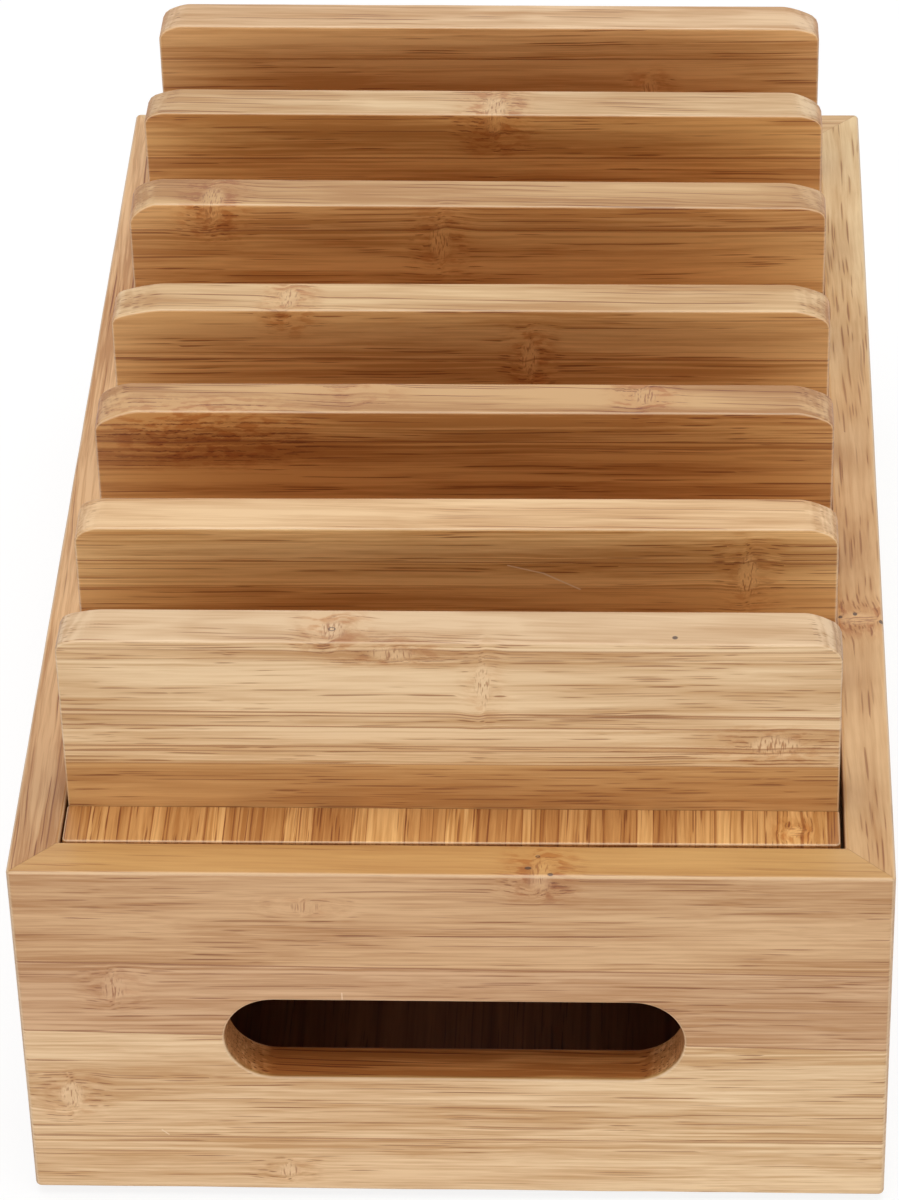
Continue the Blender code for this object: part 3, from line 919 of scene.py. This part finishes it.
def lidCutters():
    cutters = []
    half = dividerThickness / 2 + lid["dadoPlay"]
    overrun = lid["overrun"]
    for y in dividerYs:
        low = Vector((lidLow.x - overrun, y - half, dadoFloor))
        high = Vector((lidHigh.x + overrun, y + half, lidHigh.z + overrun))
        cutters.append(pieceFrom("dado", block(low, high)))
    thickness = lidHigh.z - lidLow.z
    for first, second in zip(dividerYs, dividerYs[1:]):
        cutter = obroundCutter("cableSlot", lid["slotLength"], lid["slotWidth"], thickness, lid["slotEase"],
                               lid["slotSteps"])
        spot = ((lidLow.x + lidHigh.x) / 2, (first + second) / 2, lidLow.z)
        cutter.data.transform(Matrix.Translation(spot))
        cutters.append(cutter)
    head = screws["headRadius"] + lid["holePlay"]
    shank = screws["shankRadius"] + lid["holePlay"]
    rim = screwFoot - lidLow.z + screws["headRim"]
    profile = [(head, -overrun), (head, rim), (shank, rim + head - shank), (shank, thickness)]
    angles = [2 * pi * i / screws["sides"] for i in range(screws["sides"])]
    for spot in screwSpots:
        rings = [[(radius * cos(a), radius * sin(a), z) for a in angles] for radius, z in profile]
        cutter = pieceFrom("screwHole", lofted(rings))
        cutter.data.transform(Matrix.Translation((spot.x, spot.y, lidLow.z)))
        cutters.append(cutter)
    return cutters


lidPanel = settle(cutOut(buildLidPanel(), lidCutters()))
hand(lidPanel, "lid", ["lid_panel"], bambooMaterial("lidBamboo", lid["look"]))
print("lid panel built")


# Dividers: one tree draws a board with two dropped corners and a sanded rim, from each board's own values.
# It is drawn lying down, with its top towards +Y and its front face up, and is stood up at the end.

def moved(piece, x, y, z):
    return geometry("Transform", {"Geometry": piece, "Translation": joined(x, y, z)})


def dressed(tree, piece, material):
    # Ends a tree: its instances are made real and take the material
    real = geometry("RealizeInstances", {"Geometry": piece})
    return closeGroup(tree, {"Geometry": geometry("SetMaterial", {"Geometry": real, "Material": material})})


def boardSolid(tree, given):
    # A rounded rim swept along the outline, closed by a front and a back sheet
    footRound = 0.3 * mm        # of the corners that stand in the dado
    kinkSteps, bowSteps = 8, 12
    outlineStep = 0.8 * mm
    edge = given["Edge Round"]
    twice = edge * 2.0
    outline = geometry("CurvePrimitiveQuadrilateral", {"Width": given["Width"] - twice,
                                                       "Height": given["Height"] - twice})
    isTop = reckon("GREATER_THAN", split(geometry("InputPosition", tree=tree))["Y"], 0.0)
    radius = larger((given["Kink"] - edge) * isTop, footRound)
    outline = geometry("FilletCurve", {"Curve": outline, "Radius": radius, "Count": kinkSteps}, mode="POLY")
    outline = geometry("ResampleCurve", {"Curve": outline, "Length": outlineStep}, mode="LENGTH")
    halfThickness = given["Thickness"] * 0.5
    bow = geometry("CurveArc", {
        "Resolution": bowSteps, "Radius": edge, "Start Angle": -pi / 2, "Sweep Angle": pi}, mode="RADIUS")
    sideSign = reckon("SIGN", split(geometry("InputPosition", tree=tree))["Y"])
    spread = joined(0.0, sideSign * (halfThickness - edge), 0.0)
    profile = geometry("SetPosition", {"Geometry": bow, "Offset": spread})
    upright = geometry("SetCurveNormal", {"Curve": outline}, mode="Z_UP")
    band = geometry("CurveToMesh", {"Curve": upright, "Profile Curve": profile})
    sheet = geometry("FillCurve", {"Curve": outline}, mode="NGONS")
    front = moved(sheet, 0.0, 0.0, halfThickness)
    back = geometry("FlipFaces", {"Mesh": moved(sheet, 0.0, 0.0, halfThickness * -1.0)})
    parts = geometry("JoinGeometry", {0: [band, front, back]})
    return geometry("MergeByDistance", {"Geometry": parts, "Distance": weld})


def sandRim(tree, given, solid):
    # A hand-sanded rim: the round comes and goes along the board, never outwards
    along, through = 16 * mm, 9 * mm
    normal = geometry("InputNormal", tree=tree)
    spaced = geometry("InputPosition", tree=tree) * (1 / along, 1 / along, 1 / through)
    flat = split(normal)["Z"]
    worn = fieldNoise(spaced, w=given["Seed"])[0] * (1.0 - flat * flat) * given["Wander"]
    return geometry("SetPosition", {"Geometry": solid, "Offset": normal * (worn * -1.0)})


def dropCorners(tree, given, solid):
    # Lowers the top towards its ends, back and front apart, and leans it from end to end
    axes = split(geometry("InputPosition", tree=tree))
    toFront = reckon("ADD", axes["Z"] / given["Thickness"], 0.5, clamp=True)
    isRight = reckon("GREATER_THAN", axes["X"], 0.0)
    sides = [blended(toFront, given["Back " + side], given["Front " + side]) for side in ("Left", "Right")]
    corner = split(blended(isRight, *sides))
    fromSide = given["Width"] * 0.5 - abs(axes["X"])
    reach = reckon("SUBTRACT", 1.0, fromSide / corner["X"], clamp=True)
    halfHeight = given["Height"] * 0.5
    start = halfHeight - given["Corner Depth"]
    drop = reach ** given["Corner Power"] * corner["Y"] * remap(axes["Y"], start, halfHeight)
    across = axes["X"] / given["Width"] + 0.5
    lean = remap(across, 0.0, 1.0, given["Left Low"], given["Right Low"], "LINEAR")
    upward = remap(axes["Y"], halfHeight * -0.5, halfHeight, kind="LINEAR")
    lower = drop + lean * upward
    return geometry("SetPosition", {"Geometry": solid, "Offset": joined(0.0, lower * -1.0, 0.0)})


def makeDividerTree():
    tree, given = newGroup("divider board", "GeometryNodeTree", {
        "Width": 150 * mm, "Height": 42 * mm, "Thickness": 10 * mm,
        "Back Left": (9 * mm, 5 * mm, 0.0), "Front Left": (8 * mm, 2.5 * mm, 0.0),
        "Back Right": (9 * mm, 5 * mm, 0.0), "Front Right": (8 * mm, 2.5 * mm, 0.0),
        "Corner Power": 1.6, "Corner Depth": 14 * mm, "Left Low": 0.0, "Right Low": 0.0, "Kink": 1.8 * mm,
        "Edge Round": 0.7 * mm, "Wander": 0.2 * mm, "Seed": 0.0, "Spot": origin,
        "Material": "NodeSocketMaterial"})
    shaped = dropCorners(tree, given, sandRim(tree, given, boardSolid(tree, given)))
    upright = (pi / 2, 0, 0)
    stood = geometry("Transform", {"Geometry": shaped, "Translation": given["Spot"], "Rotation": upright})
    return dressed(tree, stood, given["Material"])


def runTree(name, tree, values, start=()):
    # Runs a tree on the start points, with its inputs given by name, and keeps the plain mesh
    mesh = bpy.data.meshes.new(name)
    mesh.from_pydata(list(start), [], [])
    piece = linked(name, mesh)
    modifier = piece.modifiers.new(tree.name, "NODES")
    modifier.node_group = tree
    sockets = {item.name: item.identifier for item in tree.interface.items_tree if item.in_out == "INPUT"}
    for label, value in values.items():
        modifier[sockets[label]] = value
    return settle(applied(piece))


# Corners are (run in from the side, drop at the side) in millimetres: back left, front left, back right,
# front right. Ends are how far the top stands below the frame's at the left and at the right.
dividers = {
    "edgeRound": 0.7 * mm,
    "wander": 0.3 * mm,
    "look": {"axes": "XZY", "rules": 0.35, "edgeWear": 0.45, "contrast": 1.05, "topContrast": 0.95,
             "streaks": 0.6, "bands": 1.05},
    "shapes": [
        {"corners": ((8.5, 1.8), (5.5, 1.0), (7.2, 3.2), (5, 2.6)), "ends": (0.45, 0.45)},
        {"corners": ((5.8, 1.7), (4.6, 2.1), (7.8, 3.1), (5.5, 2.5)), "ends": (0.6, 0.2)},
        {"corners": ((6.8, 3.0), (9.2, 3.6), (8.6, 3.1), (7.5, 2.5)), "ends": (0.45, 0.45)},
        {"corners": ((11, 2.4), (11, 2.2), (8.8, 2.9), (7.5, 2.8)), "ends": (0.45, 0.45)},
        {"corners": ((6.8, 2.5), (6, 3.9), (9, 2.6), (5.5, 1.4)), "ends": (0.05, 0.85)},
        {"corners": ((8, 2.2), (4.5, 1.5), (7.5, 3.5), (5, 1.9)), "ends": (0.05, 0.85)},
        {"corners": ((6.5, 2.4), (5, 2.2), (8.5, 3.1), (6, 1.6)), "ends": (0.05, 0.85)},
    ],
}
paleFace = (0.73, 0.50, 0.27)
stripeTan = (0.68, 0.44, 0.22)
# A darker laminate strip at the first divider's foot, darker still as painted shade where it meets the lid
brownStripAndShade = (0.53, 0.28, 0.097)
amber = (0.68, 0.36, 0.12)
dividerLooks = [
    {"seed": 71.0, "body": paleFace, "top": (0.69, 0.455, 0.243),
     "strips": [(122.3, 0.0, 0.5, stripeTan), (120.2, 0.004, 0.2, paleFace), (107.2, -0.005, 0.9, stripeTan),
                (106.5, -0.002, 0.7, paleFace), (103.9, -0.003, 0.9, paleFace), (99.2, 0.002, 0.8, stripeTan),
                (98.1, 0.004, 0.7, paleFace), (94.9, 0.0, 0.3, brownStripAndShade)],
     "knuckles": [((-22.1, -115.6, 124.3), (2.6, 2.2, 3), 0.7, 1.4),
                  ((6.2, -119.6, 114), (1.5, 5.2, 4), 0.5, 0.5),
                  ((-11, -119.6, 121.5), (4.5, 1.5, 3), 0.4, 1.2),
                  ((62, -119.6, 100), (5, 2.5, 3), 0.3, 0.9)],
     "specks": [((42.8, -117.5, 124.3), (0.6, 0.65, 0.6), 0.0),
                ((-22.3, -115.4, 124.3), (0.8, 0.8, 0.7), 1.0)],
     "share": 0.55, "slant": (-0.008, 0.03), "rules": 0.2, "streaks": 0.5, "contrast": 0.9,
     "topContrast": 0.9},
    {"seed": 83.0, "body": (0.83, 0.51, 0.21), "top": (0.765, 0.488, 0.24), "share": 0.35, "rules": 0.5,
     "strips": [(116.2, 0.0, 0.9, (0.76, 0.44, 0.165)), (110, 0.004, 0.3, (0.66, 0.34, 0.11))],
     "knuckles": [((57, -82.9, 113), (2.2, 5, 4), 0.6, 0.8)],
     "strokes": [((10, -82.87, 115.5), (17, -82.87, 113.6), 0.16),
                 ((17, -82.87, 113.6), (24.1, -82.87, 109.8), 0.2)]},
    {"seed": 95.0, "body": (0.622, 0.312, 0.099), "top": (0.565, 0.315, 0.122), "share": 0.4, "rules": 0.45,
     "strips": [(117, 0.0, 0.9, (0.58, 0.275, 0.08))],
     "knuckles": [((36.5, -36.6, 124.3), (2.6, 3.5, 3), 0.6, 2.2),
                  ((-53.5, -42.7, 118.5), (8, 4, 4), 0.4, 1.8, 0.0),
                  ((-22, -36.6, 124.3), (4, 2, 3), 0.3, 0.8, 0.0)],
     "contrast": 1.3, "topContrast": 1.3, "bands": 1.25},
    {"seed": 107.0, "body": (0.71, 0.385, 0.137), "top": (0.685, 0.44, 0.208), "share": 0.4,
     "strips": [(112, 0.0, 0.9, amber)],
     "knuckles": [((-38, -1, 123.5), (2.2, 3.8, 3.6), 0.6, 1.7),
                  ((12.2, -5.4, 112.6), (2, 4.5, 4), 0.6, 1.3)]},
    {"seed": 119.0, "body": (0.69, 0.37, 0.13), "top": (0.60, 0.355, 0.147), "share": 0.4,
     "strips": [(118, 0.0, 0.9, amber)],
     "knuckles": [((-56.8, 38, 123.5), (2.8, 4.5, 4.5), 0.7, 1.9),
                  ((-8.1, 35.2, 115), (2.4, 4.5, 4), 0.7, 1.1)]},
    {"seed": 131.0, "body": (0.69, 0.36, 0.113), "top": (0.69, 0.455, 0.228), "share": 0.26,
     "strips": [(113, 0.0, 0.9, (0.66, 0.33, 0.10))],
     "knuckles": [((2.4, 76, 123), (3, 4.8, 5), 0.7, 1.9)]},
    {"seed": 143.0, "body": (0.74, 0.41, 0.155), "top": (0.725, 0.47, 0.247), "share": 0.22,
     "strips": [(116, 0.0, 0.9, (0.65, 0.345, 0.122))],
     "knuckles": [((36.4, 110.8, 107.9), (2, 3, 4), 0.6, 1.0)]},
]
dividerTree = makeDividerTree()
for index, (node, shape, look) in enumerate(zip(dividerNodes, dividers["shapes"], dividerLooks)):
    low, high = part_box(node)
    corners = zip(("Back Left", "Front Left", "Back Right", "Front Right"), shape["corners"])
    board = runTree(f"dividerBoard{index + 1}", dividerTree, {
        **{corner: (run * mm, drop * mm, 0) for corner, (run, drop) in corners},
        "Left Low": shape["ends"][0] * mm, "Right Low": shape["ends"][1] * mm,
        "Width": high.x - low.x, "Height": high.z - dadoFloor, "Thickness": high.y - low.y,
        "Edge Round": dividers["edgeRound"], "Wander": dividers["wander"], "Seed": float(index),
        "Spot": ((low.x + high.x) / 2, (low.y + high.y) / 2, (high.z + dadoFloor) / 2),
        "Material": bambooMaterial(f"dividerBamboo{index + 1}", {**dividers["look"], **look})})
    hand(board, "lid", [node])
print("dividers built")


# Screws and feet

def makeScrewTree():
    # The screw stands head down on its spot: a turned shaft with a cross cut into its head, and a thread
    tree, given = newGroup("screw row", "GeometryNodeTree", {
        "Spots": "NodeSocketGeometry", "Length": 25 * mm, "Head Radius": 3.5 * mm, "Head Rim": 0.4 * mm,
        "Shank Radius": 1.75 * mm, "Core Radius": 1.2 * mm, "Tip": 3.5 * mm, "Thread Pitch": 1.5 * mm,
        "Recess": 1.9 * mm, "Recess Width": 0.7 * mm, "Sides": 24, "Material": "NodeSocketMaterial"})
    axisPoints, coilSteps = 90, 20
    shankShare = 0.34           # of the length, without a thread
    shoulder = 0.5 * mm         # run from the shank to the thread's core
    pointShare = 0.04           # the tip's radius in core radii
    armShare = 1.15             # the recess's arms in head radii
    length, core = given["Length"], given["Core Radius"]
    axis = geometry("CurvePrimitiveLine", {"Start": origin, "End": joined(0.0, 0.0, length)})
    axis = geometry("ResampleCurve", {"Curve": axis, "Count": axisPoints}, mode="COUNT")
    height = split(geometry("InputPosition", tree=tree))["Z"]
    cone = given["Head Radius"] - larger(height - given["Head Rim"], 0.0)
    shankEnd = length * shankShare
    stem = remap(height, shankEnd, shankEnd + shoulder, given["Shank Radius"], core, "LINEAR")
    tipStart = length - given["Tip"]
    point = remap(height, tipStart, length, 1.0, pointShare, "LINEAR")
    turned = geometry("SetCurveRadius", {"Curve": axis, "Radius": larger(cone, stem * point)})
    ring = geometry("CurvePrimitiveCircle", {"Resolution": given["Sides"], "Radius": 1.0}, mode="RADIUS")
    shaft = geometry("CurveToMesh", {"Curve": turned, "Profile Curve": ring, "Fill Caps": True,
                                     "Scale": geometry("InputRadius", tree=tree)})
    deep = given["Recess"] * 2.0
    across = given["Head Radius"] * armShare
    arms = [geometry("MeshCube", {"Size": size}) for size in (
        joined(across, given["Recess Width"], deep), joined(given["Recess Width"], across, deep))]
    arms = geometry("JoinGeometry", {0: arms})
    cut = geometry("MeshBoolean", {"Mesh 1": shaft, "Mesh 2": arms, "Self Intersection": True},
                   operation="DIFFERENCE", solver="EXACT")
    threadLength = tipStart - shankEnd
    coil = geometry("CurveSpiral", {
        "Resolution": coilSteps, "Rotations": threadLength / given["Thread Pitch"], "Start Radius": core,
        "End Radius": core, "Height": threadLength})
    crest = given["Shank Radius"] - core
    wire = geometry("CurvePrimitiveCircle", {"Resolution": 3, "Radius": crest}, mode="RADIUS")
    thread = geometry("CurveToMesh", {"Curve": moved(coil, 0.0, 0.0, shankEnd), "Profile Curve": wire,
                                      "Fill Caps": True})
    screw = geometry("JoinGeometry", {0: [cut, thread]})
    turn = addNode("FunctionNodeRandomValue", {"Seed": 4}, tree, data_type="FLOAT")[1]
    placed = geometry("InstanceOnPoints", {"Points": given["Spots"], "Instance": screw,
                                           "Rotation": joined(0.0, 0.0, turn * pi)})
    return dressed(tree, placed, given["Material"])


def makeFootTree():
    # A disc with its lower edge rounded, at the four corners of a rectangle
    tree, given = newGroup("feet", "GeometryNodeTree", {
        "Radius": 6 * mm, "Height": 2 * mm, "Round": 0.6 * mm, "Spread X": 100 * mm, "Spread Y": 200 * mm,
        "Sides": 48, "Material": "NodeSocketMaterial"})
    radius, edge = given["Radius"], given["Round"]
    halfHeight = given["Height"] * 0.5
    sideSteps = 14
    disc = geometry("MeshCylinder", {
        "Vertices": given["Sides"], "Side Segments": sideSteps, "Fill Segments": 2, "Radius": radius,
        "Depth": given["Height"]}, fill_type="NGON")
    place = geometry("InputPosition", tree=tree)
    short = larger(edge - (split(place)["Z"] + halfHeight), 0.0)
    reach = reckon("SQRT", edge * edge - short * short)
    shrink = 1.0 - (edge - reach) / radius
    disc = geometry("SetPosition", {"Geometry": disc, "Position": place * joined(shrink, shrink, 1.0)})
    spots = geometry("MeshGrid", {"Size X": given["Spread X"], "Size Y": given["Spread Y"], "Vertices X": 2,
                                  "Vertices Y": 2})
    placed = geometry("InstanceOnPoints", {"Points": moved(spots, 0.0, 0.0, halfHeight), "Instance": disc})
    return dressed(tree, placed, given["Material"])


def zincMaterial():
    material, tree, shader = newMaterial("zincScrew")
    place = addNode("ShaderNodeTexCoord", tree=tree)["Object"]
    cloudy = fieldNoise(place, scale=900.0, detail=3.0)[0]
    feed(shader, {
        "Metallic": 1.0, "Base Color": mixed(cloudy, (0.52, 0.50, 0.44), (0.74, 0.73, 0.70)),
        "Roughness": remap(cloudy, 0.3, 0.7, 0.26, 0.42)})
    return material


def rubberMaterial():
    material, tree, shader = newMaterial("rubberFoot")
    place = addNode("ShaderNodeTexCoord", tree=tree)["Object"]
    grit = fieldNoise(place, scale=2600.0)[0]
    dust = fieldNoise(place, scale=240.0, detail=3.0)[0]
    feed(shader, {
        "Base Color": mixed(remap(dust, 0.45, 0.75), (0.022, 0.022, 0.023), (0.06, 0.057, 0.052)),
        "Roughness": remap(dust, 0.3, 0.7, 0.68, 0.86),
        "Normal": addNode("ShaderNodeBump", {"Height": grit, "Strength": 0.4, "Distance": 0.1 * mm})[0]})
    return material


screwRow = runTree("screws", makeScrewTree(), {
    "Length": screws["length"], "Head Radius": screws["headRadius"], "Head Rim": screws["headRim"],
    "Shank Radius": screws["shankRadius"], "Core Radius": screws["coreRadius"], "Tip": screws["tip"],
    "Thread Pitch": screws["threadPitch"], "Recess": screws["recess"], "Recess Width": screws["recessWidth"],
    "Sides": screws["sides"], "Material": zincMaterial()},
    [(spot.x, spot.y, screwFoot) for spot in screwSpots])
hand(screwRow, "lid", screwNodes)

pads = {"edgeRound": 0.6 * mm, "sides": 48}
footSpots = [centreOf(node) for node in footNodes]
feet = runTree("feet", makeFootTree(), {
    "Radius": sizeOf(footNodes[0]).x / 2, "Height": baseZ, "Round": pads["edgeRound"],
    "Sides": pads["sides"],
    "Spread X": max(spot.x for spot in footSpots) * 2, "Spread Y": max(spot.y for spot in footSpots) * 2,
    "Material": rubberMaterial()})
hand(feet, "box", footNodes)
print("screws and feet built")


# Floor, light and camera

studio = {
    "floorSize": 12.0,
    "floorColour": (0.90, 0.90, 0.90),
    "floorGlow": 0.8,          # share of the floor that the camera sees as plain white
    "glowStrength": 1.07,
    "worldStrength": 0.33,
    "aim": (0.0, 0.0, 0.06),
    "keySize": (1.7, 1.7),
    "keyPower": 28.0,
    "keySpot": (0.0, -0.10, 2.1),
    "fillSize": (5.0, 0.5),
    "fillPower": 21.5,
    "fillSpot": (0.0, -2.0, 0.25),
}
white = (1.0, 1.0, 1.0)

floorMesh = bmesh.new()
bmesh.ops.create_grid(floorMesh, x_segments=1, y_segments=1, size=studio["floorSize"] / 2)
floor = pieceFrom("floor", floorMesh)
floorMaterial, floorTree, floorShader = newMaterial("paleFloor")
feed(floorShader, {"Base Color": studio["floorColour"], "Roughness": 0.9, "Specular IOR Level": 0.0})
glow = addNode("ShaderNodeEmission", {"Color": white, "Strength": studio["glowStrength"]}, floorTree)[0]
share = addNode("ShaderNodeLightPath", tree=floorTree)["Is Camera Ray"] * studio["floorGlow"]
surface = addNode("ShaderNodeMixShader", {0: share, 1: Field(floorShader.outputs[0]), 2: glow})[0]
feed(floorTree.nodes["Material Output"], {"Surface": surface})
floor.data.materials.append(floorMaterial)
floor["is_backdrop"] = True

world = bpy.data.worlds.new("softbox room")
bpy.context.scene.world = world
world.use_nodes = True
path = addNode("ShaderNodeLightPath", tree=world.node_tree)
seen = larger(path["Is Camera Ray"], larger(path["Is Glossy Ray"], path["Is Transmission Ray"]))
strength = remap(seen, 0.0, 1.0, studio["worldStrength"], 1.0, "LINEAR")
feed(world.node_tree.nodes["Background"], {"Color": white, "Strength": strength})


def softbox(name, size, power, spot):
    light = bpy.data.lights.new(name, "AREA")
    light.shape = "RECTANGLE"
    light.size, light.size_y = size
    light.energy = power
    lamp = linked(name, light)
    lamp.location = spot
    lamp.rotation_euler = (Vector(studio["aim"]) - lamp.location).to_track_quat("-Z", "Y").to_euler()
    lamp.visible_camera = False


# The main light hangs overhead, so that the dividers' front faces glow only with what the bays reflect.
# A low one in front lights the front wall and the first divider.
softbox("overheadKey", studio["keySize"], studio["keyPower"], studio["keySpot"])
softbox("frontFill", studio["fillSize"], studio["fillPower"], studio["fillSpot"])

# The camera stands where the photograph was taken, high in front and a little to the right
view = {
    "spot": (42.9 * mm, -870 * mm, 692.4 * mm),
    "yaw": 0.0565,
    "pitch": -0.6387,
    "roll": -0.0284,
    "lens": 149.6,
    "sensorWidth": 36,
}


def cameraMatrix():
    yaw, pitch, roll = view["yaw"], view["pitch"], view["roll"]
    sideways = Vector((cos(yaw), sin(yaw), 0))
    ahead = Vector((-sin(yaw), cos(yaw), 0))
    upright = Vector((0, 0, 1))
    forward = cos(pitch) * ahead + sin(pitch) * upright
    up = -sin(pitch) * ahead + cos(pitch) * upright
    right = cos(roll) * sideways + sin(roll) * up
    top = -sin(roll) * sideways + cos(roll) * up
    turn = Matrix((right, top, -forward)).transposed()
    return Matrix.Translation(view["spot"]) @ turn.to_4x4()


camera = linked("camera", bpy.data.cameras.new("camera"))
camera.data.sensor_width = view["sensorWidth"]
camera.data.lens = view["lens"]
camera.matrix_world = cameraMatrix()
bpy.context.scene.camera = camera
bpy.context.scene.view_settings.view_transform = "Standard"

low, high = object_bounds()
print("visual box", [round(side, 4) for side in high - low])
